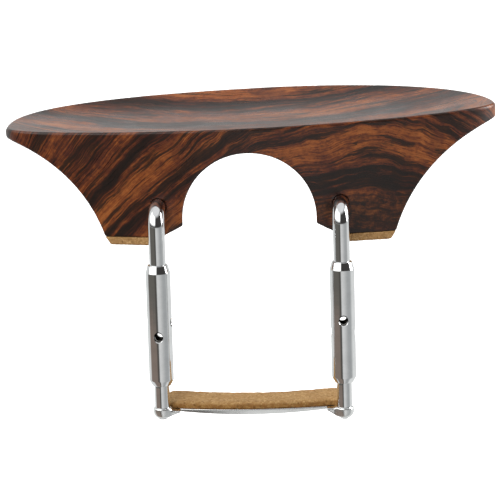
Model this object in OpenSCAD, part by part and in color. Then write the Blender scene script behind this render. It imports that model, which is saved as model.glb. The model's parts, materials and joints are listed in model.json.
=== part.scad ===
// Centre-mounted violin chin rest with a two-barrel turnbuckle clamp. Millimetres.
// X runs across the instrument, +Y towards its scroll and +Z away from its top. The origin lies
// midway between the two foot pads, on the plane where they rest on the instrument.

/* [Dish] */
// Overall width of the dish
plate_w = 121.7; // [116:0.1:130]
// Depth from the widest line to the front rim
front_depth = 19; // [16:0.5:21]
// Depth from the widest line to the back rim
back_depth = 44.5; // [38:0.5:50]
// Squareness of the front outline, 2 is an ellipse
front_square = 1.78; // [1.7:0.01:2.2]
// Squareness of the back outline at -X
back_square_left = 2.5; // [1.9:0.01:2.7]
// Squareness of the back outline at +X
back_square_right = 2; // [1.9:0.01:2.7]
// Shift of the back outline towards -X for each mm behind the widest line
back_lean = 0.06; // [0:0.01:0.12]
// Height of the rim above the foot pads, at the middle of the widest line
rim_height = 29.3; // [28:0.1:31]
// Rise of the rim towards +X, degrees
side_tilt = 1.75; // [0:0.05:2.5]
// Rise of the rim towards +Y, degrees
back_tilt = 1.1; // [0:0.05:2]
// Depth of the hollow below the rim
dish_depth = 4.2; // [3.5:0.1:4.5]
// Thickness of the rim's edge
rim_t = 4; // [3.5:0.1:4.5]
// Extra thickness under the middle of the dish
belly = 3.6; // [3:0.1:4.5]

/* [Legs] */
// Thickness of the legs, front to back
leg_depth = 14; // [10:0.5:16]
// Radius of the tailpiece arch
arch_r = 16.2; // [14:0.1:17]
// Height of the arch's centre
arch_z = 6.4; // [5:0.1:7]
// How much each side of the arch opens towards the back, degrees
arch_taper = 4; // [0:0.5:6]
// Radius of the concave flare under the lower end, at -X
left_flare_r = 34.8; // [30:0.1:38]
// Radius of the concave flare under the higher end, at +X
right_flare_r = 38.7; // [34:0.1:44]
// Half width over the feet
foot_out = 35.7; // [33:0.1:37]
// Where the flat of each foot starts
foot_in = 21.6; // [20:0.1:23]
// Thickness of the cork under the feet
foot_cork_t = 2; // [1.5:0.05:3]

/* [Clamp] */
// Distance between the two clamp posts
post_gap = 44.5; // [43:0.1:46]
// Radius of the upper rods
rod_r = 2; // [1.8:0.05:2.1]
// Height at which the upper rods enter the wood
rod_z = 9.7; // [9:0.1:12]
// Centreline radius of the rods' bend
bend_r = 4; // [3.5:0.1:4.6]
// Length of the rods' screw in the wood
screw_len = 9; // [6:0.5:10]
// Outer radius of the barrels
barrel_r = 3; // [2.8:0.05:3.2]
// Length of the barrels
barrel_len = 30; // [28:0.1:32]
// Top of the barrels
barrel_top = -3.2; // [-4:0.1:-2]
// Radius of the lower posts
post_r = 1.85; // [1.7:0.05:1.95]
// Height of the open gap between the corks
clamp_gap = 37.75; // [36:0.05:40]
// Radius of the key holes
key_r = 1; // [0.8:0.05:1.1]
// Thread pitch
pitch = 0.7; // [0.5:0.1:0.8]

/* [Bracket] */
// Thickness of the bracket's cork
bracket_cork_t = 1.8; // [1.5:0.1:3]
// Thickness of the bracket's metal leaf at its middle
leaf_t = 1.3; // [1:0.1:1.6]
// Front to back size of the metal leaf
leaf_depth = 10.8; // [8:0.1:12]
// Plan radius that the leaf's front edge follows
leaf_r = 100; // [90:1:120]
// Plan radius of its back edge
leaf_back_r = 62; // [55:1:95]
// Radius of the leaf's bowed underside
bow_r = 260; // [240:5:400]

/* [Hidden] */

front_y = -9.5;                        // foremost point of the wood
widest_y = front_y + front_depth;      // line along which the dish is widest
dish_y = widest_y + 12;                // deepest point of the hollow
dish_power = 3;                        // how flat the hollow's floor is
rim_twist = 0.00018;                   // slope across X that the rim gains with each mm of Y
rod_standoff = 5.4;                    // from the front of the wood to the barrels' axes
barrel_y = front_y - rod_standoff;
barrel_bottom = barrel_top - barrel_len;
run_clear = 0.06;                      // radial running clearance in the barrels
wood_clear = 0.1;                      // radial clearance of the rods in the wood
shank_in_wood = 2;                     // plain shank inside the wood before its screw starts
screw_r = rod_r - 0.25;                // crest radius of the wood screw
thread_depth = 0.35;
rod_end = barrel_top - 12.2;           // lower end of the upper rods
post_end = barrel_top - 19.2;          // upper end of the lower posts
upper_key = 14.2;                      // key holes, measured down from the barrel's top
lower_key = 17.5;
leaf_top = -clamp_gap - bracket_cork_t;
leaf_front = barrel_y - 0.8;           // front edge of the leaf, at its middle
boss_r = 2.3;                          // round lug at the foot of each post
boss_h = 2.8;
wood_colour = [0.42, 0.2, 0.11];
cork_colour = [0.72, 0.53, 0.32];
chrome_colour = [0.8, 0.81, 0.82];
steps = 72;                            // points round the dish's outline
$fn = 64;

// ---- the dish's outline and surfaces ----
function side(v) = v < 0 ? -1 : 1;
function outline(t, grow = 0) =
    let (c = cos(t), s = sin(t),
        e = 2 / (s < 0 ? front_square : c < 0 ? back_square_left : back_square_right),
        behind = side(s) * ((s < 0 ? front_depth : back_depth) + grow) * pow(abs(s), e))
    [(plate_w / 2 + grow) * side(c) * pow(abs(c), e) - back_lean * max(behind, 0), widest_y + behind];
function between(r, t, grow = 0) = let (p = outline(t, grow)) [r * p[0], dish_y + r * (p[1] - dish_y)];
function rim_z(p) = rim_height + tan(side_tilt) * p[0] + tan(back_tilt) * (p[1] - widest_y)
    + rim_twist * p[0] * (p[1] - widest_y);
function hollow(r) = -dish_depth * (1 - pow(r, dish_power));
function under(r) = -rim_t - belly * (1 - r * r);

// Each ring is [share of the way out to the rim, height against the rim's plane].
dish_rings = concat(
    [for (r = [0.12, 0.25, 0.38, 0.5, 0.6, 0.7, 0.79, 0.87, 0.93, 0.965]) [r, hollow(r)]],
    [[0.984, -0.08], [0.995, -0.25], [1, -0.65], [1, 0.7 - rim_t], [0.994, 0.2 - rim_t], [0.975, -0.05 - rim_t]],
    [for (r = [0.93, 0.84, 0.72, 0.58, 0.42, 0.25, 0.12]) [r, under(r)]]);
core_rings = [for (r = [0.2, 0.4, 0.6, 0.8, 0.95, 0.998]) [r, (hollow(r) + under(r)) / 2]];

function ring_points(ring) = [for (i = [0:steps - 1])
    let (p = between(ring[0], i * 360 / steps)) [p[0], p[1], rim_z(p) + ring[1]]];
function flat_points(r, z) = [for (i = [0:steps - 1])
    let (p = between(r, i * 360 / steps)) [p[0], p[1], z]];

// Closed solid through rings of points listed from the top down, with a point closing each end.
module ring_solid(rings, top, bottom) {
    n = len(rings);
    last = n * steps;
    wall = [for (k = [0:n - 2], i = [0:steps - 1])
        let (j = (i + 1) % steps, a = k * steps, b = a + steps)
        each [[a + i, a + j, b + j], [a + i, b + j, b + i]]];
    caps = [for (i = [0:steps - 1])
        let (j = (i + 1) % steps, b = last - steps)
        each [[last, j, i], [last + 1, b + i, b + j]]];
    polyhedron(concat([for (r = rings) each r], [top, bottom]), concat(wall, caps), convexity = 6);
}

module dish() {
    middle = [0, dish_y];
    ring_solid([for (r = dish_rings) ring_points(r)],
        [0, dish_y, rim_z(middle) + hollow(0)], [0, dish_y, rim_z(middle) + under(0)]);
}

// Everything below the dish's middle surface, down to the soles of the feet.
module core() {
    middle = [0, dish_y];
    ring_solid(concat([for (r = core_rings) ring_points(r)], [flat_points(0.998, foot_cork_t)]),
        [0, dish_y, rim_z(middle) + (hollow(0) + under(0)) / 2], [0, dish_y, foot_cork_t]);
}

module outline_shape() {
    polygon([for (i = [0:steps - 1]) outline(i * 360 / steps, -0.1)]);
}

// One concave end, a large cylinder across the end of the legs that thins the dish's tip too. It
// leaves the sole at the foot's outer edge, leaning by the given number of degrees.
module flare(s) {
    r = s < 0 ? left_flare_r : right_flare_r;
    lean = s < 0 ? 71.7 : 72.9;
    translate([s * (foot_out + r * sin(lean)), 0, foot_cork_t - r * cos(lean)])
        rotate([90, 0, 0]) cylinder(r = r, h = 200, center = true, $fn = 128);
}

// The tailpiece arch. Two cuts turned a little apart open it towards the back.
module arch() {
    bevel_top = 4.9;                   // height at which the feet's inner bevel starts
    for (a = [-arch_taper, arch_taper]) translate([0, front_y, 0]) rotate(a) {
        translate([0, 0, arch_z]) rotate([90, 0, 0]) cylinder(r = arch_r, h = 80, center = true, $fn = 96);
        translate([0, 40, 0]) rotate([90, 0, 0]) linear_extrude(80)
            polygon([[-arch_r, arch_z], [-arch_r, bevel_top], [-foot_in, foot_cork_t], [-foot_in, -1],
                [foot_in, -1], [foot_in, foot_cork_t], [arch_r, bevel_top], [arch_r, arch_z]]);
    }
}

module legs() {
    difference() {
        core();
        translate([0, leg_depth, -1]) linear_extrude(60) outline_shape();
        arch();
    }
}

module rod_hole(s) {
    translate([s * post_gap / 2, front_y - 1, rod_z]) rotate([-90, 0, 0]) {
        cylinder(r = rod_r + wood_clear, h = front_hole());
        cylinder(r = screw_r + wood_clear, h = front_hole() + screw_len + 0.6);
    }
}
function front_hole() = 1 + face_y(post_gap / 2) - front_y + shank_in_wood + 0.1;
// Front of the wood at a distance x from the middle.
function face_y(x) = widest_y - front_depth *
    pow(1 - pow(x / (plate_w / 2), front_square), 1 / front_square);

module rest_body() {
    color(wood_colour) difference() {
        union() {
            dish();
            legs();
        }
        for (s = [-1, 1]) {
            flare(s);
            rod_hole(s);
        }
    }
}

// ---- corks under the feet ----
module foot_cork(s) {
    slant = 34;                        // degrees that the outer edge leans in towards the sole
    low = foot_out - foot_cork_t * tan(slant);
    color(cork_colour) difference() {
        intersection() {
            linear_extrude(foot_cork_t) difference() {
                outline_shape();
                translate([0, leg_depth]) outline_shape();
            }
            translate([0, 60, 0]) rotate([90, 0, 0]) linear_extrude(120)
                polygon([[s * foot_in / 2, -1], [s * foot_in / 2, foot_cork_t + 1],
                    [s * (foot_out + tan(slant)), foot_cork_t + 1], [s * (low - tan(slant)), -1]]);
        }
        arch();
    }
}

// ---- clamp ----
// Half profile of a threaded length from z = 0 up, as [radius, height] points with V grooves.
function thread_points(r, length) = [for (k = [0:floor(length / pitch) - 1], half = [0, 1])
    [half == 0 ? r : r - thread_depth, pitch * (k + 0.25 + half / 2)]];

module threaded(r, length) {
    tip = 0.4;
    rotate_extrude() polygon(concat([[0, 0], [r - tip, 0]], thread_points(r, length),
        [[r, length], [0, length]]));
}

module upper_rod(s) {
    thread_len = 10.5;
    screw_start = face_y(post_gap / 2) + shank_in_wood;
    color(chrome_colour) translate([s * post_gap / 2, barrel_y, 0]) {
        translate([0, 0, rod_end]) threaded(rod_r, thread_len);
        translate([0, 0, rod_end + thread_len - 0.1])
            cylinder(r = rod_r, h = rod_z - bend_r - rod_end - thread_len + 0.1);
        translate([0, bend_r, rod_z - bend_r]) rotate([90, 0, -90])
            rotate_extrude(angle = 90) translate([bend_r, 0]) circle(r = rod_r);
        translate([0, bend_r, rod_z]) rotate([-90, 0, 0])
            cylinder(r = rod_r, h = screw_start - barrel_y - bend_r);
        translate([0, screw_start - barrel_y + screw_len, rod_z]) rotate([90, 0, 0])
            threaded(screw_r, screw_len + 0.1);
    }
}

// Half profile of a barrel, closed along its two bores. The upper bore is wider than the lower one.
module barrel(s, turn) {
    collar_h = 1.9;
    collar_r = 2.45;
    foot_h = 1.4;
    foot_r = 2.2;
    soft = 0.25;                       // small break on each edge
    middle = barrel_len - 16;
    color(chrome_colour) translate([s * post_gap / 2, barrel_y, barrel_bottom]) rotate(turn) difference() {
        rotate_extrude() polygon([
            [post_r + run_clear, 0], [foot_r - soft, 0], [foot_r, soft * 0.4],
            [barrel_r - soft * 0.4, foot_h - soft], [barrel_r, foot_h + soft],
            [barrel_r, barrel_len - collar_h - soft * 0.4], [barrel_r - soft * 0.3, barrel_len - collar_h + soft * 0.6],
            [collar_r + soft * 0.3, barrel_len - soft], [collar_r - soft * 0.4, barrel_len],
            [rod_r + run_clear, barrel_len], [rod_r + run_clear, middle], [post_r + run_clear, middle]]);
        translate([0, 0, barrel_len - upper_key]) rotate([90, 0, 0])
            cylinder(r = key_r, h = 4 * barrel_r, center = true);
        translate([0, 0, barrel_len - lower_key]) rotate([0, 90, 0])
            cylinder(r = key_r, h = 4 * barrel_r, center = true);
    }
}

// ---- bracket ----
// Plan band that follows the instrument's edge, with the given half width.
function arc_rise(r, x) = r - sqrt(r * r - x * x);
module edge_band(front, depth, half_w) {
    n = 10;
    polygon(concat(
        [for (i = [-n:n]) [half_w * i / n, front + arc_rise(leaf_r, half_w * i / n)]],
        [for (i = [-n:n]) [-half_w * i / n, front + depth + arc_rise(leaf_back_r, half_w * i / n)]]));
}

// The leaf seen from the front: flat on top, with a bowed underside.
module leaf_profile() {
    n = 7;
    reach = post_gap / 2 + 0.75;
    polygon(concat([[reach, leaf_top], [-reach, leaf_top]],
        [for (i = [-n:n]) [reach * i / n, leaf_top - leaf_t + arc_rise(bow_r, reach * i / n)]]));
}

// Lower end of the round lug at one post. The one at +X sits lower on the leaf.
function boss_bottom(s) = s < 0 ? leaf_top - 2.05 : leaf_top - 2.65;

// Web that carries each lug in front of the leaf's curved end.
module lug_web(s) {
    deep = -boss_bottom(s) - 0.75;
    out = s * post_gap / 2;
    translate([0, barrel_y + 3.4, 0]) rotate([90, 0, 0]) linear_extrude(4.6)
        polygon([[out, leaf_top], [out - s * 4.4, leaf_top], [out - s * 4.4, leaf_top - 0.5],
            [out - s * 2.1, -deep], [out, -deep]]);
}

module bracket_leaf() {
    tenon_r = 1.3;
    color(chrome_colour) difference() {
        union() {
            intersection() {
                translate([0, 40, 0]) rotate([90, 0, 0]) linear_extrude(80) leaf_profile();
                translate([0, 0, leaf_top - 5]) linear_extrude(10)
                    edge_band(leaf_front, leaf_depth, post_gap / 2);
            }
            for (s = [-1, 1]) lug_web(s);
            for (s = [-1, 1]) translate([s * post_gap / 2, barrel_y, boss_bottom(s)]) rotate_extrude()
                polygon([[0, 0], [boss_r - 1.3, 0], [boss_r - 0.6, 0.25], [boss_r - 0.15, 0.75],
                    [boss_r, 1.3], [boss_r, boss_h - 0.4], [boss_r - 0.35, boss_h], [0, boss_h]]);
        }
        for (s = [-1, 1]) translate([s * post_gap / 2, barrel_y, boss_bottom(s) - 1])
            cylinder(r = tenon_r, h = boss_h + 2);
    }
}

module post(s) {
    tenon_r = 1.3;
    rivet_h = 0.2;
    thread_len = 14;
    boss_top = boss_bottom(s) + boss_h;
    color(chrome_colour) translate([s * post_gap / 2, barrel_y, 0]) {
        translate([0, 0, boss_bottom(s) - rivet_h]) rotate_extrude() polygon([[0, 0], [0.7, 0],
            [1, rivet_h], [tenon_r, rivet_h + 0.15], [tenon_r, boss_h + rivet_h],
            [post_r, boss_h + rivet_h], [post_r, boss_h + rivet_h + 1], [0, boss_h + rivet_h + 1]]);
        translate([0, 0, boss_top + 0.9]) cylinder(r = post_r, h = post_end - thread_len - boss_top - 0.8);
        translate([0, 0, post_end]) mirror([0, 0, 1]) threaded(post_r, thread_len);
    }
}

module bracket_cork() {
    edge = 0.4;                        // metal left showing along the cork's front
    post_clear = 0.35;
    color(cork_colour) translate([0, 0, leaf_top]) linear_extrude(bracket_cork_t) difference() {
        edge_band(leaf_front + edge, leaf_depth - 2 * edge, post_gap / 2 - 0.6);
        for (s = [-1, 1]) translate([s * post_gap / 2, barrel_y]) circle(r = boss_r + post_clear);
    }
}

rest_body();
foot_cork(-1);  // left_foot_cork
foot_cork(1);  // right_foot_cork
upper_rod(-1);  // left_upper_rod
upper_rod(1);  // right_upper_rod
barrel(-1, 86);  // left_barrel
barrel(1, 3);  // right_barrel
bracket_leaf();
post(-1);  // left_post
post(1);  // right_post
bracket_cork();
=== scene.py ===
"""Looks for a centre-mounted violin chin rest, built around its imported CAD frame.

Shapes are worked out in millimetres and stored in metres, in the CAD's frame: +X across the
instrument, +Y towards its scroll, +Z up.
"""

import json
import math

import bpy
import numpy as np
from mathutils import Matrix, Vector


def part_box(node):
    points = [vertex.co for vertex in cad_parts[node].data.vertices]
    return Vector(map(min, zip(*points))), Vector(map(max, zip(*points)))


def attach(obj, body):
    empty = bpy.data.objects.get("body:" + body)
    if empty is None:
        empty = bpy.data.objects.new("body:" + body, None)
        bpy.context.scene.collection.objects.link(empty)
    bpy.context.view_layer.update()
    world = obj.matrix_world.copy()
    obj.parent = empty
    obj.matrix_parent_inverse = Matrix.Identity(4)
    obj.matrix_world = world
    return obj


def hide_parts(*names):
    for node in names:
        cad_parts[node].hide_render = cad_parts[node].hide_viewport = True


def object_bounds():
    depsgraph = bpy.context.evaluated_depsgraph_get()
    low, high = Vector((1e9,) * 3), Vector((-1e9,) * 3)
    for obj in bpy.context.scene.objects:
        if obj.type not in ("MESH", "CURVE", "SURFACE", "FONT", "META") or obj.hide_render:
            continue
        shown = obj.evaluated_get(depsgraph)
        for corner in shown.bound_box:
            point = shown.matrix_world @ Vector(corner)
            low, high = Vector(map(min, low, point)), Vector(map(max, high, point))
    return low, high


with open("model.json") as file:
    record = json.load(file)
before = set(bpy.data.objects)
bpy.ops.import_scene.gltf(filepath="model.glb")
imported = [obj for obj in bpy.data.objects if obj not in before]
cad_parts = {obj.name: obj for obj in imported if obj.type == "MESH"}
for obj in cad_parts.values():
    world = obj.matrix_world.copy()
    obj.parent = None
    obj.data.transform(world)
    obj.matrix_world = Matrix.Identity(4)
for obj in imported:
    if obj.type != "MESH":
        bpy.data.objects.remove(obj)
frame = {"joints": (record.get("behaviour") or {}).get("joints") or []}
cad_low, cad_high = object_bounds()

MM = 0.001
SEED = 7


def box(node):
    low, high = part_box(node)
    return np.array(low) / MM, np.array(high) / MM


JOINTS = {j["name"]: j for j in frame["joints"]}
BARREL_X, BARREL_Y = [abs(v) / MM for v in JOINTS["right_barrel_turn"]["pos_m"][:2]]
BARREL_Y = -BARREL_Y
WOOD_LOW, WOOD_HIGH = box("rest_body")
CELL = 0.45

# ---------------------------------------------------------------- mesh building


def smooth_max(a, b, k):
    h = np.maximum(k - np.abs(a - b), 0.0) / k
    return np.maximum(a, b) + h * h * k * 0.25


def smooth_min(a, b, k):
    return -smooth_max(-a, -b, k)


def smooth_step(low, high, v):
    t = np.clip((v - low) / (high - low), 0.0, 1.0)
    return t * t * (3 - 2 * t)


def gradient(field, p, h=0.02):
    g = np.empty_like(p)
    for axis in range(3):
        d = np.zeros(3)
        d[axis] = h
        a, b = p + d, p - d
        g[:, axis] = (field(*a.T) - field(*b.T)) / (2 * h)
    return g


def surface_nets(field, low, high, cell):
    """Vertices and quads of the surface field = 0, with solid where the field is negative."""
    low, high = np.array(low, float), np.array(high, float)
    count = np.ceil((high - low) / cell).astype(int) + 1
    axes = [low[i] + cell * np.arange(count[i]) for i in range(3)]
    value = field(*np.meshgrid(*axes, indexing="ij"))
    inside = value < 0
    cells = count - 1
    total = np.zeros((*cells, 3))
    hits = np.zeros(cells, int)
    edges = []
    for axis in range(3):
        first = [slice(None)] * 3
        second = [slice(None)] * 3
        first[axis], second[axis] = slice(0, -1), slice(1, None)
        v0, v1 = value[tuple(first)], value[tuple(second)]
        s0, s1 = inside[tuple(first)], inside[tuple(second)]
        index = np.argwhere(s0 != s1)
        a, b = v0[tuple(index.T)], v1[tuple(index.T)]
        point = low + cell * index
        point[:, axis] += cell * a / (a - b)
        edges.append((axis, index, s0[tuple(index.T)]))
        u, w = [i for i in range(3) if i != axis]
        for du in (0, 1):
            for dw in (0, 1):
                c = index.copy()
                c[:, u] -= du
                c[:, w] -= dw
                ok = ((c >= 0) & (c < cells)).all(1)
                np.add.at(total, tuple(c[ok].T), point[ok])
                np.add.at(hits, tuple(c[ok].T), 1)
    used = hits > 0
    number = np.full(cells, -1)
    number[used] = np.arange(used.sum())
    verts = total[used] / hits[used][:, None]
    faces = []
    for axis, index, solid_first in edges:
        u, w = (axis + 1) % 3, (axis + 2) % 3
        corners = []
        for du, dw in ((1, 1), (0, 1), (0, 0), (1, 0)):
            c = index.copy()
            c[:, u] -= du
            c[:, w] -= dw
            corners.append(c)
        ok = np.all([((c >= 0) & (c < cells)).all(1) for c in corners], axis=0)
        quad = np.stack([number[tuple(c[ok].T)] for c in corners], 1)
        flip = ~solid_first[ok]
        quad[flip] = quad[flip][:, ::-1]
        faces.append(quad)
    return verts, np.concatenate(faces)


def pull_to(field, verts, rounds=4):
    for _ in range(rounds):
        g = gradient(field, verts)
        step = field(*verts.T)[:, None] * g / np.maximum((g * g).sum(1), 0.05)[:, None]
        verts = verts - np.clip(step, -0.3, 0.3)
    return verts


def relax(verts, faces, amount=0.5):
    total, hits = np.zeros_like(verts), np.zeros(len(verts))
    for i in range(4):
        a, b = faces[:, i], faces[:, (i + 1) % 4]
        np.add.at(total, a, verts[b])
        np.add.at(total, b, verts[a])
        np.add.at(hits, a, 1)
        np.add.at(hits, b, 1)
    return verts + amount * (total / np.maximum(hits, 1)[:, None] - verts)


def mesh_object(name, verts, faces):
    mesh = bpy.data.meshes.new(name)
    mesh.from_pydata((np.asarray(verts) * MM).tolist(), [], [list(map(int, f)) for f in faces])
    mesh.validate()
    mesh.polygons.foreach_set("use_smooth", [True] * len(mesh.polygons))
    obj = bpy.data.objects.new(name, mesh)
    bpy.context.scene.collection.objects.link(obj)
    return obj


def carved(name, field, low, high, cell, rounds=2):
    """Object whose surface is field = 0, evened out and pulled back onto the field."""
    verts, faces = surface_nets(field, low, high, cell)
    verts = pull_to(field, verts)
    for _ in range(rounds):
        verts = pull_to(field, relax(verts, faces), 2)
    obj = mesh_object(name, verts, faces)
    normal = gradient(field, verts)
    normal /= np.maximum(np.linalg.norm(normal, axis=1), 1e-6)[:, None]
    obj.data.normals_split_custom_set_from_vertices(normal.tolist())
    return obj


def rounded(points, radii, steps=5):
    """Closed polyline with each corner replaced by an arc of its radius."""
    points = [np.array(p, float) for p in points]
    out = []
    for i, p in enumerate(points):
        r = radii[i] if hasattr(radii, "__len__") else radii
        a, b = points[i - 1], points[(i + 1) % len(points)]
        ua, ub = (a - p) / np.linalg.norm(a - p), (b - p) / np.linalg.norm(b - p)
        angle = math.acos(float(np.clip(ua @ ub, -1, 1)))
        if r <= 0 or angle > math.pi - 0.02:
            out.append(p)
            continue
        reach = min(r / math.tan(angle / 2),
                    0.45 * np.linalg.norm(a - p), 0.45 * np.linalg.norm(b - p))
        r = reach * math.tan(angle / 2)
        centre = p + (ua + ub) / np.linalg.norm(ua + ub) * r / math.sin(angle / 2)
        start, end = p + ua * reach - centre, p + ub * reach - centre
        turn = math.atan2(start[0] * end[1] - start[1] * end[0], start @ end)
        for k in range(steps + 1):
            t = turn * k / steps
            c, s = math.cos(t), math.sin(t)
            out.append(centre + np.array([c * start[0] - s * start[1],
                                          s * start[0] + c * start[1]]))
    return out


def lathe(profile, x, y, segments=96):
    """Vertices and faces of a closed half profile of (radius, z) turned about the axis at x, y."""
    n = len(profile)
    t = np.arange(segments) * 2 * math.pi / segments
    verts = [(x + r * math.cos(a), y + r * math.sin(a), z) for a in t for r, z in profile]
    faces = []
    for i in range(segments):
        j = (i + 1) % segments
        for k in range(n):
            m = (k + 1) % n
            faces.append((i * n + k, j * n + k, j * n + m, i * n + m))
    return verts, faces


def tube(centre, across, radius, segments=64):
    """A round bar along centre points. across is the list of side vectors square to the path,
    and radius(ring, angle) gives its radius."""
    centre, across = np.array(centre, float), np.array(across, float)
    side = np.array([1.0, 0.0, 0.0])
    t = np.arange(segments) * 2 * math.pi / segments
    verts, faces = [], []
    for i, (c, n) in enumerate(zip(centre, across)):
        r = radius(i, t)[:, None]
        verts.append(c + r * (np.cos(t)[:, None] * side + np.sin(t)[:, None] * n))
    rings = len(centre)
    verts = np.concatenate([*verts, centre[:1], centre[-1:]])
    for i in range(rings - 1):
        for k in range(segments):
            m = (k + 1) % segments
            low, high = i * segments, (i + 1) * segments
            faces.append((low + k, low + m, high + m, high + k))
    for k in range(segments):
        m = (k + 1) % segments
        faces.append((rings * segments, m, k))
        last = (rings - 1) * segments
        faces.append((rings * segments + 1, last + k, last + m))
    return verts, faces


def join(parts):
    verts, faces = [], []
    for v, f in parts:
        base = len(verts)
        verts.extend(map(tuple, v))
        faces.extend([tuple(base + i for i in face) for face in f])
    return verts, faces


def modifier(obj, kind, **values):
    m = obj.modifiers.new(kind.lower(), kind)
    for key, value in values.items():
        setattr(m, key, value)
    return m


def apply_modifiers(obj):
    graph = bpy.context.evaluated_depsgraph_get()
    graph.update()
    mesh = bpy.data.meshes.new_from_object(obj.evaluated_get(graph))
    old = obj.data
    obj.modifiers.clear()
    obj.data = mesh
    bpy.data.meshes.remove(old)


def smooth_by_angle(obj, degrees):
    """Smooth shading with edges sharper than the angle kept crisp."""
    mesh = obj.data
    mesh.polygons.foreach_set("use_smooth", [True] * len(mesh.polygons))
    mesh.set_sharp_from_angle(angle=math.radians(degrees))


# ---------------------------------------------------------------- materials


class Nodes:
    """Short-hand for building a material's node tree. Values may be numbers or sockets."""

    def __init__(self, name):
        self.material = bpy.data.materials.new(name)
        self.material.use_nodes = True
        self.tree = self.material.node_tree
        self.shader = self.tree.nodes["Principled BSDF"]

    def add(self, kind, settings=None, **inputs):
        node = self.tree.nodes.new(kind)
        for key, value in (settings or {}).items():
            setattr(node, key, value)
        for key, value in inputs.items():
            self.put(node.inputs[key.replace("_", " ")], value)
        return node

    def put(self, socket, value):
        if isinstance(value, bpy.types.NodeSocket):
            self.tree.links.new(value, socket)
        else:
            socket.default_value = value

    def math(self, operation, a, b=0.0, c=0.0):
        node = self.tree.nodes.new("ShaderNodeMath")
        node.operation = operation
        for socket, value in zip(node.inputs, (a, b, c)):
            self.put(socket, value)
        return node.outputs[0]

    def position(self):
        """x, y and z in millimetres, in the CAD's frame."""
        coord = self.add("ShaderNodeTexCoord")
        split = self.add("ShaderNodeSeparateXYZ", Vector=coord.outputs["Object"])
        return [self.math("MULTIPLY", split.outputs[i], 1 / MM) for i in range(3)]

    def vector(self, x, y, z):
        return self.add("ShaderNodeCombineXYZ", X=x, Y=y, Z=z).outputs[0]

    def noise(self, vector, scale, detail=2.0, roughness=0.5, distortion=0.0):
        node = self.add("ShaderNodeTexNoise", Vector=vector, Scale=scale, Detail=detail,
                        Roughness=roughness, Distortion=distortion)
        return node.outputs[0]

    def ramp(self, value, stops):
        node = self.add("ShaderNodeValToRGB", Fac=value)
        ramp = node.color_ramp
        while len(ramp.elements) < len(stops):
            ramp.elements.new(0.5)
        for element, (place, colour) in zip(ramp.elements, stops):
            element.position = place
            element.color = (*colour, 1.0) if hasattr(colour, "__len__") else (colour,) * 3 + (1.0,)
        return node.outputs[0]

    def map(self, value, a, b, low=0.0, high=1.0):
        """value from a..b to low..high, smoothly and clamped."""
        node = self.add("ShaderNodeMapRange", {"interpolation_type": "SMOOTHSTEP"})
        for socket, v in zip(node.inputs[:5], (value, a, b, low, high)):
            self.put(socket, v)
        return node.outputs[0]

    def mix(self, factor, a, b, kind="MIX"):
        node = self.tree.nodes.new("ShaderNodeMix")
        node.data_type, node.blend_type = "RGBA", kind
        self.put(node.inputs[0], factor)
        for socket, value in ((node.inputs[6], a), (node.inputs[7], b)):
            self.put(socket, (*value, 1.0) if isinstance(value, tuple) else value)
        return node.outputs[2]

    def bump(self, height, strength, distance):
        node = self.add("ShaderNodeBump", Height=height, Strength=strength, Distance=distance)
        return node.outputs[0]


def srgb(r, g, b):
    return tuple(((v / 255 + 0.055) / 1.055) ** 2.4 if v > 10 else v / 3295 for v in (r, g, b))


FIGURE_X, FIGURE_CURVE = 25.0, 0.0096  # the front's bands are parabolas about this x
GROWTH_AT, GROWTH_PITCH = 66.0, 16.5  # a dark growth band's place along the grain, and the pitch
EBONY, PORE, RED_HEART = (21, 15, 12), (30, 20, 17), (62, 26, 22)


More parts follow.
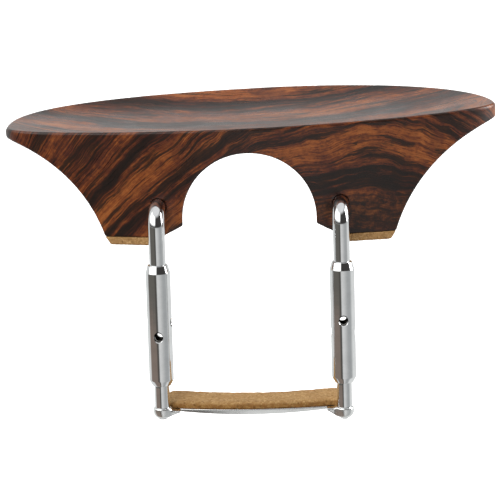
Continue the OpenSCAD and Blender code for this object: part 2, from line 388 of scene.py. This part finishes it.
def rosewood():
    """Dark-banded rosewood: curved bands on the front, long straight figure across the dish."""
    n = Nodes("rosewood")
    x, y, z = n.position()
    here = n.vector(x, y, z)
    # how far behind the curved front face a point lies
    behind = n.math("SUBTRACT", n.math("ADD", y, -WOOD_LOW[1]),
                    n.math("MULTIPLY", n.math("MULTIPLY", x, x), 0.0045))
    swirl = n.map(behind, 2.0, 14.0, 1.0, 0.0)
    drift = n.math("SUBTRACT", n.noise(here, 0.045, 2.0, 0.5), 0.5)
    ripple = n.math("SUBTRACT", n.noise(here, 0.22, 2.0, 0.5), 0.5)
    off = n.math("SUBTRACT", x, FIGURE_X)
    bow = n.math("MULTIPLY", n.math("MULTIPLY", n.math("MULTIPLY", off, off), FIGURE_CURVE), swirl)
    grain = n.math("ADD", n.math("ADD", z, bow), n.math("MULTIPLY", behind, 0.75))
    grain = n.math("ADD", grain, n.math("MULTIPLY", drift, 9.0))
    grain = n.math("ADD", grain, n.math("MULTIPLY", ripple, 1.4))

    def layered(across, along, detail, roughness):
        """Noise that is long along the grain and short across it, in cycles per mm."""
        v = n.vector(n.math("MULTIPLY", grain, across), n.math("MULTIPLY", x, along),
                     n.math("MULTIPLY", y, along))
        return n.noise(v, 1.0, detail, roughness)

    broad = layered(0.16, 0.016, 2.0, 0.5)
    bands = layered(0.6, 0.05, 5.0, 0.7)
    lines = layered(2.6, 0.13, 4.0, 0.7)
    flecks = layered(6.0, 0.7, 2.0, 0.5)
    mottle = n.noise(here, 0.55, 5.0, 0.7)
    rings = n.math("COSINE", n.math("MULTIPLY", n.math("SUBTRACT", grain, GROWTH_AT),
                                    2 * math.pi / GROWTH_PITCH))
    tone = n.math("ADD", n.math("MULTIPLY", broad, 0.40), n.math("MULTIPLY", lines, 0.42))
    tone = n.math("ADD", tone, n.math("MULTIPLY", mottle, 0.32))
    tone = n.math("SUBTRACT", tone, n.math("MULTIPLY", rings, 0.035))
    colour = n.ramp(tone, [
        (0.44, srgb(30, 16, 13)), (0.51, srgb(60, 29, 20)), (0.57, srgb(94, 46, 24)),
        (0.64, srgb(136, 74, 34)), (0.72, srgb(156, 92, 46))])
    red = n.map(n.noise(here, 0.09, 3.0, 0.6), 0.5, 0.68)
    colour = n.mix(n.math("MULTIPLY", red, 0.5), colour, srgb(*RED_HEART))
    dark = n.map(n.math("ADD", n.math("ADD", bands, n.math("MULTIPLY", rings, 0.06)),
                        n.math("MULTIPLY", n.math("SUBTRACT", mottle, 0.5), 0.25)), 0.47, 0.57)
    # the right leg is nearly black low down
    foot = n.math("MULTIPLY", n.map(z, 14.5, 9.5), n.map(x, 13.0, 17.0))
    dark = n.math("MAXIMUM", dark, n.math("MULTIPLY", foot, n.map(mottle, 0.35, 0.62, 1.0, 0.6)))
    colour = n.mix(n.math("MULTIPLY", dark, 0.9), colour, srgb(*EBONY))
    colour = n.mix(n.map(flecks, 0.56, 0.72, 0.0, 0.6), colour, srgb(*PORE))
    n.put(n.shader.inputs["Base Color"], colour)
    rough = n.math("ADD", n.math("MULTIPLY", lines, 0.34),
                   n.map(n.noise(here, 0.08, 4.0, 0.6), 0.3, 0.7, 0.11, 0.2))
    n.put(n.shader.inputs["Roughness"], rough)
    n.shader.inputs["Specular IOR Level"].default_value = 0.34
    n.shader.inputs["Coat Weight"].default_value = 0.16
    n.shader.inputs["Coat Roughness"].default_value = 0.2
    height = n.math("ADD", n.math("MULTIPLY", flecks, -0.6), n.math("MULTIPLY", lines, 0.4))
    n.put(n.shader.inputs["Normal"], n.bump(height, 0.35, 0.00008))
    return n.material


GRANULES_PER_MM = 2.1


def cork(name, light, dark, deep, shade_below=None):
    """Pressed cork. Below a given height, painted shade darkens its cut edge and tints it browner.
    """
    n = Nodes(name)
    x, y, z = n.position()
    here = n.vector(x, y, z)
    cells, edge = (n.add("ShaderNodeTexVoronoi", {"feature": kind}, Vector=here,
                         Scale=GRANULES_PER_MM, Randomness=1.0)
                   for kind in ("F1", "DISTANCE_TO_EDGE"))
    shade = n.add("ShaderNodeSeparateColor", Color=cells.outputs["Color"])
    grit = n.noise(here, 4.2, 4.0, 0.65)
    cloud = n.noise(here, 0.28, 3.0, 0.55)
    tone = n.math("ADD", n.math("MULTIPLY", shade.outputs[0], 0.5), n.math("MULTIPLY", grit, 0.5))
    colour = n.mix(n.map(tone, 0.25, 0.8), dark, light)
    colour = n.mix(n.map(cloud, 0.42, 0.65, 0.0, 0.45), colour, dark)
    pits = n.map(shade.outputs[1], 0.9, 0.97)
    seam = n.map(edge.outputs["Distance"], 0.02, 0.12, 1.0, 0.0)
    colour = n.mix(n.math("MULTIPLY", seam, 0.25), colour, deep)
    colour = n.mix(n.math("MULTIPLY", pits, 0.5), colour, deep)
    if shade_below is not None:
        # painted shade: below this height the cut edge is darkened and tinted browner than the top
        colour = n.mix(n.map(z, shade_below + 0.5, shade_below - 0.3), colour, (0.72, 0.60, 0.44), "MULTIPLY")
    n.put(n.shader.inputs["Base Color"], colour)
    n.put(n.shader.inputs["Roughness"], n.map(grit, 0.2, 0.8, 0.72, 0.95))
    n.shader.inputs["Specular IOR Level"].default_value = 0.25
    raised = n.math("ADD", n.math("MULTIPLY", grit, 0.6), n.math("MULTIPLY", shade.outputs[2], 0.3))
    height = n.math("SUBTRACT", raised, n.math("ADD", n.math("MULTIPLY", seam, 0.4), pits))
    n.put(n.shader.inputs["Normal"], n.bump(height, 0.8, 0.00012))
    return n.material


def chrome(name, tint, wear, polish=0.03, bores=None):
    """Polished plating whose roughness runs from polish up by wear. bores is (low z, high z,
    radius) of a barrel, whose key holes get painted shade inside."""
    n = Nodes(name)
    x, y, z = n.position()
    here = n.vector(x, y, z)
    haze = n.noise(here, 0.35, 4.0, 0.6)
    fine = n.noise(n.vector(x, y, n.math("MULTIPLY", z, 9.0)), 1.4, 3.0, 0.6)
    colour = n.mix(n.map(haze, 0.35, 0.7), tint, tuple(0.93 * v for v in tint))
    if bores is not None:
        # painted shade: the key holes are darkened inside, between these heights and within this
        # radius
        low, high, radius = bores
        off_x = n.math("SUBTRACT", n.math("ABSOLUTE", x), BARREL_X)
        off_y = n.math("SUBTRACT", y, BARREL_Y)
        away = n.math("SQRT", n.math("ADD", n.math("MULTIPLY", off_x, off_x),
                                     n.math("MULTIPLY", off_y, off_y)))
        inside = n.math("MULTIPLY", n.map(away, radius - 0.05, radius - 0.25),
                        n.math("MULTIPLY", n.map(z, low, low + 0.2), n.map(z, high, high - 0.2)))
        colour = n.mix(inside, colour, (0.10, 0.09, 0.075))
    n.put(n.shader.inputs["Base Color"], colour)
    n.shader.inputs["Metallic"].default_value = 1.0
    rough = n.math("ADD", n.map(haze, 0.35, 0.75, polish, polish + wear),
                   n.math("MULTIPLY", fine, 0.03))
    n.put(n.shader.inputs["Roughness"], rough)
    height = n.math("ADD", haze, n.math("MULTIPLY", fine, 0.1))
    n.put(n.shader.inputs["Normal"], n.bump(height, 0.12, 0.00005))
    return n.material


WOOD = rosewood()
FOOT_CORK = cork("foot_cork", srgb(190, 152, 104), srgb(160, 122, 78), srgb(104, 72, 42))
CORK_LOW, CORK_HIGH = box("bracket_cork")
# painted shade darkens the pad's front edge from 0.7 mm below its top
BRACKET_CORK = cork("bracket_cork", srgb(194, 160, 110), srgb(164, 126, 80), srgb(108, 76, 42),
                    shade_below=CORK_HIGH[2] - 0.7)
CHROME_TINT, LEAF_TINT = (0.80, 0.81, 0.82), (0.88, 0.89, 0.89)
BARREL_LOW, BARREL_HIGH = box("right_barrel")
BARREL_R = (BARREL_HIGH[0] - BARREL_LOW[0]) / 2
ROD_CHROME = chrome("chrome_rod", CHROME_TINT, 0.03)
# painted shade inside the barrels' key holes
BARREL_CHROME = chrome("chrome_barrel", CHROME_TINT, 0.04,
                       bores=(BARREL_LOW[2] + 1.8, BARREL_HIGH[2] - 2.4, BARREL_R))
LEAF_CHROME = chrome("chrome_leaf", LEAF_TINT, 0.08, polish=0.2)


def finish_piece(obj, material, body, slot, *nodes):
    obj.data.materials.clear()
    obj.data.materials.append(material)
    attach(obj, body)
    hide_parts(*nodes)
    return obj


# ---------------------------------------------------------------- the wood

HALF_W = (WOOD_HIGH[0] - WOOD_LOW[0]) / 2
FRONT_Y, BACK_Y = WOOD_LOW[1], WOOD_HIGH[1]
FRONT_DEPTH = 19.0
WIDEST_Y = FRONT_Y + FRONT_DEPTH
BACK_DEPTH = BACK_Y - WIDEST_Y
FRONT_SQUARE, BACK_LEFT, BACK_RIGHT, BACK_LEAN = 1.78, 2.5, 2.0, 0.06
DISH_Y = WIDEST_Y + 12
RIM_Z, SIDE_TILT, BACK_TILT, RIM_TWIST = 29.3, math.radians(1.75), math.radians(1.1), 0.00018
DISH_DEPTH, RIM_T, BELLY = 4.2, 4.0, 3.6
LEG_DEPTH = 14.0
SOLE_Z = WOOD_LOW[2]
ARCH_R, ARCH_Z, BEVEL_TOP, FOOT_IN, FOOT_OUT = 16.2, 6.4, 4.9, 21.6, 35.7
ARCH_TAPER = math.tan(math.radians(4))
FLARES = ((-1, 34.8, math.radians(71.7)), (1, 38.7, math.radians(72.9)))
ROD_Z, ROD_R = 9.7, 2.0


def outline_distance(x, y):
    """Roughly the distance outside the dish's outline, exact on the outline itself."""
    behind = y - WIDEST_Y
    front = behind < 0
    x = np.where(front, x, x + BACK_LEAN * behind)
    power = np.where(front, FRONT_SQUARE, np.where(x < 0, BACK_LEFT, BACK_RIGHT))
    depth = np.where(front, FRONT_DEPTH, BACK_DEPTH)
    u, v = np.abs(x) / HALF_W, np.abs(behind) / depth
    g = u**power + v**power - 1
    slope = np.hypot(power * u ** (power - 1) / HALF_W, power * v ** (power - 1) / depth)
    return g / np.maximum(slope, 0.006)


def _outline_radius():
    t = np.linspace(0, 2 * math.pi, 8001)[:-1]
    c, s = np.cos(t), np.sin(t)
    e = 2 / np.where(s < 0, FRONT_SQUARE, np.where(c < 0, BACK_LEFT, BACK_RIGHT))
    behind = np.sign(s) * np.where(s < 0, FRONT_DEPTH, BACK_DEPTH) * np.abs(s) ** e
    px = HALF_W * np.sign(c) * np.abs(c) ** e - BACK_LEAN * np.maximum(behind, 0)
    py = WIDEST_Y + behind - DISH_Y
    angle = np.arctan2(py, px)
    order = np.argsort(angle)
    return angle[order], np.hypot(px, py)[order]


RIM_ANGLE, RIM_RADIUS = _outline_radius()


def share(x, y):
    """0 at the dish's deepest point and 1 on its rim."""
    angle = np.arctan2(y - DISH_Y, x)
    return np.hypot(x, y - DISH_Y) / np.interp(angle, RIM_ANGLE, RIM_RADIUS, period=2 * math.pi)


def rim_z(x, y):
    return (RIM_Z + math.tan(SIDE_TILT) * x + math.tan(BACK_TILT) * (y - WIDEST_Y)
            + RIM_TWIST * x * (y - WIDEST_Y))


def wood_field(x, y, z):
    s = share(x, y)
    rim = rim_z(x, y)
    top = rim - DISH_DEPTH * (1 - s**3)
    under = rim - RIM_T - BELLY * (1 - s * s)
    slab = np.maximum(z - top, under - z)
    away = np.maximum(np.abs(x) - ARCH_TAPER * np.maximum(y - FRONT_Y, 0), 0)
    arch = ARCH_R - np.where(z > ARCH_Z, np.hypot(away, z - ARCH_Z), away)
    run, drop = FOOT_IN - ARCH_R, BEVEL_TOP - SOLE_Z
    bevel = -((away - ARCH_R) * drop + (z - BEVEL_TOP) * run) / math.hypot(run, drop)
    leg = smooth_max(smooth_max(arch, bevel, 0.35), SOLE_Z - z, 0.3)
    leg = smooth_max(leg, -outline_distance(x, y - LEG_DEPTH), 1.4)
    leg = np.maximum(leg, z - (top + under) / 2)
    body = smooth_min(slab, leg, 2.0)
    for side, radius, lean in FLARES:
        cx = side * (FOOT_OUT + radius * math.sin(lean))
        cz = SOLE_Z - radius * math.cos(lean)
        body = smooth_max(body, radius - np.hypot(x - cx, z - cz), 0.5)
    soft = 0.5 + 0.4 * smooth_step(-3.5, -1.0, z - rim)
    solid = smooth_max(outline_distance(x, y), body, soft)
    hole = np.minimum(ROD_R - 0.02 - np.hypot(np.abs(x) - BARREL_X, z - ROD_Z), FRONT_Y + 12.5 - y)
    return np.maximum(solid, hole)


wood = carved("chin_dish", wood_field, WOOD_LOW - 1.2, WOOD_HIGH + (1.2, 1.2, 1.6), CELL)
finish_piece(wood, WOOD, "rest", "rosewood", "rest_body")

# ---------------------------------------------------------------- corks


def grain_noise(x, y, z, size, seed):
    """Cheap smooth noise of about unit height, from a few turned sine waves."""
    rng = np.random.default_rng(seed)
    total = 0
    for _ in range(7):
        k = rng.normal(size=3)
        k *= 2 * math.pi / (size * rng.uniform(0.6, 1.6)) / np.linalg.norm(k)
        total = total + np.sin(k[0] * x + k[1] * y + k[2] * z + rng.uniform(0, 6.28))
    return total / 4


def foot_cork(side, node, name):
    low, high = box(node)

    def field(x, y, z):
        u = side * x
        slant = math.radians(34)
        outer = (u - FOOT_OUT) * math.cos(slant) - (z - SOLE_Z) * math.sin(slant)
        away = u - ARCH_TAPER * np.maximum(y - FRONT_Y, 0)
        solid = smooth_max(outer, FOOT_IN - away, 0.4)
        plan = smooth_max(outline_distance(x, y) + 0.12, -outline_distance(x, y - LEG_DEPTH), 0.4)
        solid = smooth_max(solid, plan, 0.4)
        solid = smooth_max(solid, np.maximum(-z, z - high[2]), 0.35)
        return solid + 0.035 * grain_noise(x, y, z, 1.3, SEED)

    obj = carved(name, field, low - 0.8, high + 0.8, 0.28, 1)
    return finish_piece(obj, FOOT_CORK, "rest", "foot_cork", node)


foot_cork(-1, "left_foot_cork", "foot_pad_left")
foot_cork(1, "right_foot_cork", "foot_pad_right")

LEAF_FRONT, LEAF_DEPTH, LEAF_T = BARREL_Y - 0.8, 10.8, 1.3
LEAF_R, LEAF_BACK_R, BOW_R = 100.0, 62.0, 260.0
LEAF_TOP = CORK_LOW[2]
BOSS_R, BOSS_H = 2.3, 2.8


def boss_bottom(side):
    return LEAF_TOP - (2.05 if side < 0 else 2.65)


def arc_rise(radius, x):
    return radius - np.sqrt(radius**2 - x * x)


def bracket_cork_field(x, y, z):
    front = LEAF_FRONT + 0.4 + arc_rise(LEAF_R, np.minimum(np.abs(x), 30)) - y
    back = y - (LEAF_FRONT + LEAF_DEPTH - 0.4 + arc_rise(LEAF_BACK_R, np.minimum(np.abs(x), 30)))
    plan = smooth_max(front, back, 0.6)
    plan = smooth_max(plan, np.abs(x) - (BARREL_X - 0.6), 1.2)
    plan = np.maximum(plan, BOSS_R + 0.2 - np.hypot(np.abs(x) - BARREL_X, y - BARREL_Y))
    h = z - LEAF_TOP
    droop = 0.5 * smooth_step(18.0, 22.5, np.abs(x)) + 0.12 * smooth_step(16, 0, np.abs(x))
    solid = smooth_max(plan, h - (CORK_HIGH[2] - LEAF_TOP) + droop, 1.0)
    solid = smooth_max(solid, -h, 0.2)
    crumbs, waves = grain_noise(x, y, z, 1.5, SEED + 1), grain_noise(x, y, z, 6.0, SEED + 2)
    return solid + 0.05 * crumbs + 0.05 * waves


pad = carved("bracket_pad", bracket_cork_field, CORK_LOW - 0.9, CORK_HIGH + 0.9,
             0.32, 1)
finish_piece(pad, BRACKET_CORK, "bracket", "bracket_cork", "bracket_cork")

# ---------------------------------------------------------------- clamp

BEND_R, SCREW_R, PITCH, THREAD = 4.0, 1.75, 0.7, 0.35
RING_STEP = 0.1  # mm between the rings that draw a thread
POST_R = 1.85
PLAY, BORE_STEP = 0.06, 14  # thread clearance, and where a barrel's two bores meet


def thread_cut(place, angle, hand=1):
    """Share of the thread's depth that is cut away at a height and angle, for a V thread."""
    t = (place / PITCH + hand * angle / (2 * math.pi)) % 1.0
    return 1 - np.abs(2 * t - 1)


def upper_rod(side, node, name):
    low, high = box(node)
    x0 = side * BARREL_X
    end_z, end_y = low[2], high[1]
    bend_z = ROD_Z - BEND_R
    thread_top = end_z + 10.5
    wood_y = end_y - 9.0
    centre, across, kind = [], [], []

    def ring(y, z, square, what="plain", place=0):
        centre.append((x0, y, z))
        across.append(square)
        kind.append((what, place))

    for z in np.arange(end_z, thread_top, RING_STEP):
        ring(BARREL_Y, z, (0, 1, 0), "lower", z - end_z)
    for z in np.linspace(thread_top, bend_z, 12):
        ring(BARREL_Y, z, (0, 1, 0))
    for t in np.linspace(0, math.pi / 2, 33)[1:]:
        c, s = math.cos(t), math.sin(t)
        ring(BARREL_Y + BEND_R * (1 - c), bend_z + BEND_R * s, (0, c, -s))
    for y in np.linspace(BARREL_Y + BEND_R, wood_y, 8)[1:]:
        ring(y, ROD_Z, (0, 0, -1))
    for y in np.arange(wood_y + 0.05, end_y, RING_STEP):
        ring(y, ROD_Z, (0, 0, -1), "screw", end_y - y)

    def radius(i, angle):
        what, place = kind[i]
        if what == "lower":
            tip = min(1.0, place / 0.5)
            fade = min(1, (thread_top - end_z - place) / 0.7)
            return (ROD_R - THREAD * thread_cut(place, angle) * fade) * (0.8 + 0.2 * tip)
        if what == "screw":
            taper = min(1.0, place / 2.0)
            return (SCREW_R - 0.4 * thread_cut(place / 1.6, angle)) * (0.35 + 0.65 * taper)
        return np.full(len(angle), ROD_R)

    obj = mesh_object(name, *tube(centre, across, radius, 48))
    return finish_piece(obj, ROD_CHROME, "rest", "chrome_rod", node)


upper_rod(-1, "left_upper_rod", "upper_rod_left")
upper_rod(1, "right_upper_rod", "upper_rod_right")


def post(side, node, name):
    low, high = box(node)
    x0 = side * BARREL_X
    top, thread = high[2], 10.6
    base = boss_bottom(side) + BOSS_H - 0.6
    centre = [(x0, BARREL_Y, z) for z in np.linspace(base, top - thread, 10)]
    place = [None] * len(centre)
    for z in np.arange(top - thread + RING_STEP, top + 0.001, RING_STEP):
        centre.append((x0, BARREL_Y, z))
        place.append(top - z)

    def radius(i, angle):
        if place[i] is None:
            return np.full(len(angle), POST_R)
        tip = min(1.0, place[i] / 0.5)
        fade = min(1.0, (thread - place[i]) / 0.7)
        return (POST_R - THREAD * fade * thread_cut(place[i], angle, -1)) * (0.8 + 0.2 * tip)

    shank = tube(centre, [(0, 1, 0)] * len(centre), radius, 48)
    head = lathe(rounded([(0.02, low[2]), (0.9, low[2]), (1.3, low[2] + 0.4), (0.02, low[2] + 0.4)],
                         [0, 0.4, 0.1, 0]), x0, BARREL_Y, 48)
    obj = mesh_object(name, *join([shank, head]))
    return finish_piece(obj, ROD_CHROME, "bracket", "chrome_rod", node)


post(-1, "left_post", "post_left")
post(1, "right_post", "post_right")


def barrel(side, node, name, body, turn):
    low, high = box(node)
    x0, bottom, top = side * BARREL_X, low[2], high[2]
    radius = (high[0] - low[0]) / 2
    profile = rounded([
        (POST_R + PLAY, bottom), (2.2, bottom), (radius, bottom + 1.45),
        (radius, top - 1.9), (2.45, top), (ROD_R + PLAY, top),
        (ROD_R + PLAY, bottom + BORE_STEP), (POST_R + PLAY, bottom + BORE_STEP)],
        [0.08, 0.25, 0.7, 0.12, 0.15, 0.1, 0, 0], 6)
    obj = mesh_object(name, *lathe(profile, x0, BARREL_Y, 128))
    for height, start in ((top - 14.2, 90), (top - 17.5, 0)):
        half = 3.6
        cut = rounded([(0.005, -half), (1.9, -half), (1.9, -half + 0.1), (1.0, -2.62),
                       (1.0, 2.62), (1.9, half - 0.1), (1.9, half), (0.005, half)],
                      [0, 0, 0, 0.3, 0.3, 0, 0, 0], 3)
        cutter = mesh_object("cutter", *lathe(cut, 0, 0, 48))
        lay = Matrix.Rotation(math.pi / 2, 4, "Y")
        spin = Matrix.Rotation(math.radians(turn + start), 4, "Z") @ lay
        cutter.data.transform(Matrix.Translation(Vector((x0, BARREL_Y, height)) * MM) @ spin)
        modifier(obj, "BOOLEAN", operation="DIFFERENCE", object=cutter, solver="EXACT")
        apply_modifiers(obj)
        bpy.data.objects.remove(cutter)
    smooth_by_angle(obj, 40)
    return finish_piece(obj, BARREL_CHROME, body, "chrome_barrel", node)


barrel(-1, "left_barrel", "barrel_left", "left_turnbuckle", 86)
barrel(1, "right_barrel", "barrel_right", "right_turnbuckle", 3)


def leaf():
    steps = 40
    across = np.linspace(-BARREL_X, BARREL_X, steps)
    plan = [(px, LEAF_FRONT + arc_rise(LEAF_R, px)) for px in across]
    plan += [(px, LEAF_FRONT + LEAF_DEPTH + arc_rise(LEAF_BACK_R, px)) for px in across[::-1]]
    n = len(plan)
    verts = [(px, py, LEAF_TOP - LEAF_T + arc_rise(BOW_R, px)) for px, py in plan]
    verts += [(px, py, LEAF_TOP) for px, py in plan]
    faces = []
    for k in range(steps - 1):
        a, b, c, d = k, k + 1, n - 2 - k, n - 1 - k
        faces.append((a, d, c, b))
        faces.append((n + a, n + b, n + c, n + d))
    for k in range(n):
        m = (k + 1) % n
        faces.append((k, m, n + m, n + k))
    plate = mesh_object("bracket_leaf_piece", verts, faces)
    modifier(plate, "BEVEL", width=0.3 * MM, segments=4, limit_method="ANGLE",
             angle_limit=math.radians(50))
    apply_modifiers(plate)
    smooth_by_angle(plate, 50)
    lugs = []
    for side in (-1, 1):
        x0, bottom = side * BARREL_X, boss_bottom(side)

        def lug_field(x, y, z, x0=x0, bottom=bottom, side=side):
            ring = np.hypot(x - x0, y - BARREL_Y)
            boss = smooth_max(smooth_max(ring - BOSS_R, bottom - z, 2.2), z - bottom - BOSS_H, 0.4)
            u = side * (x0 - x)
            slope = (bottom + 0.75 - (LEAF_TOP - 0.5)) / 2.3
            under = (LEAF_TOP - 0.5 + slope * (4.4 - u) - z) / math.hypot(1, slope)
            web = smooth_max(u - 4.4, under, 0.3)
            web = smooth_max(web, np.maximum(bottom + 0.75 - z, z - LEAF_TOP), 0.2)
            web = smooth_max(web, np.abs(y - BARREL_Y - 1.1) - 2.3, 0.4)
            return smooth_min(boss, np.maximum(web, -u), 0.7)

        reach = np.array([5.4, 4.6, 0])
        middle = np.array([x0, BARREL_Y + 0.8, 0])
        low, high = middle - reach, middle + reach
        low[2], high[2] = bottom - 0.6, bottom + BOSS_H + 0.6
        lugs.append(carved("lug", lug_field, low, high, 0.2, 1))
    with bpy.context.temp_override(active_object=plate, selected_editable_objects=[plate, *lugs]):
        bpy.ops.object.join()
    return finish_piece(plate, LEAF_CHROME, "bracket", "chrome_leaf", "bracket_leaf")


leaf()

# ---------------------------------------------------------------- stage, light and camera

centre = (cad_low + cad_high) / 2
STAND_AZIMUTH, STAND_ELEVATION = math.radians(2.2544), math.radians(11.4753)
STAND_OFF, LENS = 0.62532, 176.8


def toward(azimuth, elevation):
    """Unit vector from the object towards a viewer at these angles."""
    return Vector((math.sin(azimuth) * math.cos(elevation),
                   -math.cos(azimuth) * math.cos(elevation), math.sin(elevation)))


roll = math.radians(1.632)
look_azimuth, look_elevation = math.radians(2.324), math.radians(11.9)
forward = -toward(look_azimuth, look_elevation)
right = forward.cross(Vector((0, 0, 1))).normalized()
up = right.cross(forward)
turned_right = right * math.cos(roll) - up * math.sin(roll)
turned_up = right * math.sin(roll) + up * math.cos(roll)
camera_data = bpy.data.cameras.new("camera")
camera_data.lens = LENS
camera_data.sensor_width = 36
camera_data.clip_start, camera_data.clip_end = 0.01, 100
camera = bpy.data.objects.new("camera", camera_data)
bpy.context.scene.collection.objects.link(camera)
axes = Matrix((turned_right, turned_up, -forward)).transposed()
# the object sits a little below the picture's middle
tip_up, tip_side = math.radians(0.309), math.radians(0.037)
axes = axes @ Matrix.Rotation(tip_up, 3, "X") @ Matrix.Rotation(tip_side, 3, "Y")
stand = centre + toward(STAND_AZIMUTH, STAND_ELEVATION) * STAND_OFF
camera.matrix_world = Matrix.Translation(stand) @ axes.to_4x4()
bpy.context.scene.camera = camera


def world_light():
    """A white studio sweep behind, a dim room in front and a tall window at the front left."""
    world = bpy.data.worlds.new("studio")
    world.use_nodes = True
    bpy.context.scene.world = world
    tree = world.node_tree
    tree.nodes.clear()
    n = Nodes.__new__(Nodes)
    n.tree = tree
    coord = n.add("ShaderNodeTexCoord")
    split = n.add("ShaderNodeSeparateXYZ", Vector=coord.outputs["Generated"])
    x, y, z = split.outputs
    # angle round from the viewer's side, positive to the right, in degrees
    turn = n.math("MULTIPLY", n.math("ARCTAN2", x, n.math("MULTIPLY", y, -1.0)), 180 / math.pi)
    rise = n.math("MULTIPLY", n.math("ARCSINE", z), 180 / math.pi)
    behind = n.math("MAXIMUM", n.map(turn, 72, 100), n.map(turn, -92, -112))
    low_front = n.map(rise, 2, -4)
    left_low = n.math("MULTIPLY", n.map(turn, -6, -17), low_front)
    window = n.math("MULTIPLY", n.map(turn, -4, -22), n.map(turn, -110, -86))
    window = n.math("MULTIPLY", window, n.math("MULTIPLY", n.map(rise, 2, 18), n.map(rise, 62, 44)))
    right_low = n.mix(n.map(turn, 0, 55), (0.72, 0.72, 0.71), (0.42, 0.43, 0.43))
    dark_low = n.mix(n.map(rise, -11.8, -14.2), (0.14, 0.132, 0.118), (0.245, 0.195, 0.165))
    dark_low = n.mix(n.map(turn, -38, -20), dark_low, (0.085, 0.08, 0.072))
    light = n.mix(low_front, (0.055, 0.052, 0.05), right_low)
    light = n.mix(left_low, light, dark_low)
    light = n.mix(window, light, (2.3, 2.3, 2.25))
    backdrop_top = n.math("ADD", 22.0, n.math("MULTIPLY", n.map(x, 0.05, -0.3), 30.0))
    backdrop = n.math("SUBTRACT", backdrop_top, rise)
    backdrop = n.mix(n.map(backdrop, -5, 5), (0.10, 0.09, 0.085), (0.80, 0.81, 0.80))
    light = n.mix(behind, light, backdrop)
    light = n.mix(n.map(rise, 40, 60), light, (0.85, 0.85, 0.85))
    seen = n.add("ShaderNodeLightPath").outputs["Is Camera Ray"]
    light = n.mix(seen, light, (1.0, 1.0, 1.0))
    shade = n.add("ShaderNodeBackground", Color=light, Strength=1.0)
    out = n.add("ShaderNodeOutputWorld")
    tree.links.new(shade.outputs[0], out.inputs["Surface"])


world_light()


def plain_floor():
    """A wide pale disc, a little below the object and mostly behind it."""
    drop, size, sides = 0.16, 1.6, 96
    ring = [(size * math.cos(t), size * math.sin(t) + size + 0.1, cad_low.z - drop)
            for t in np.linspace(0, 2 * math.pi, sides + 1)[:-1]]
    mesh = bpy.data.meshes.new("floor")
    mesh.from_pydata(ring, [], [list(range(sides))])
    floor = bpy.data.objects.new("floor", mesh)
    bpy.context.scene.collection.objects.link(floor)
    material = bpy.data.materials.new("floor")
    material.use_nodes = True
    shader = material.node_tree.nodes["Principled BSDF"]
    shader.inputs["Base Color"].default_value = (0.9, 0.9, 0.9, 1)
    shader.inputs["Roughness"].default_value = 0.9
    shader.inputs["Emission Color"].default_value = (1, 1, 1, 1)
    shader.inputs["Emission Strength"].default_value = 0.85
    mesh.materials.append(material)
    floor.visible_glossy = False


plain_floor()


def area_light(name, place, aim, size, power):
    data = bpy.data.lights.new(name, "AREA")
    data.shape = "RECTANGLE"
    data.size, data.size_y = size
    data.energy = power
    light = bpy.data.objects.new(name, data)
    bpy.context.scene.collection.objects.link(light)
    light.location = Vector(place)
    light.rotation_mode = "QUATERNION"
    light.rotation_quaternion = (Vector(aim) - Vector(place)).to_track_quat("-Z", "Y")
    light.visible_camera = False
    light.visible_glossy = False
    return light


area_light("front_soft", (-0.35, -0.9, 0.75), centre, (0.7, 0.7), 8.0)
area_light("right_soft", (0.8, 0.15, 0.3), centre, (0.4, 0.6), 7.0).visible_glossy = True
bpy.context.scene.view_settings.view_transform = "Standard"
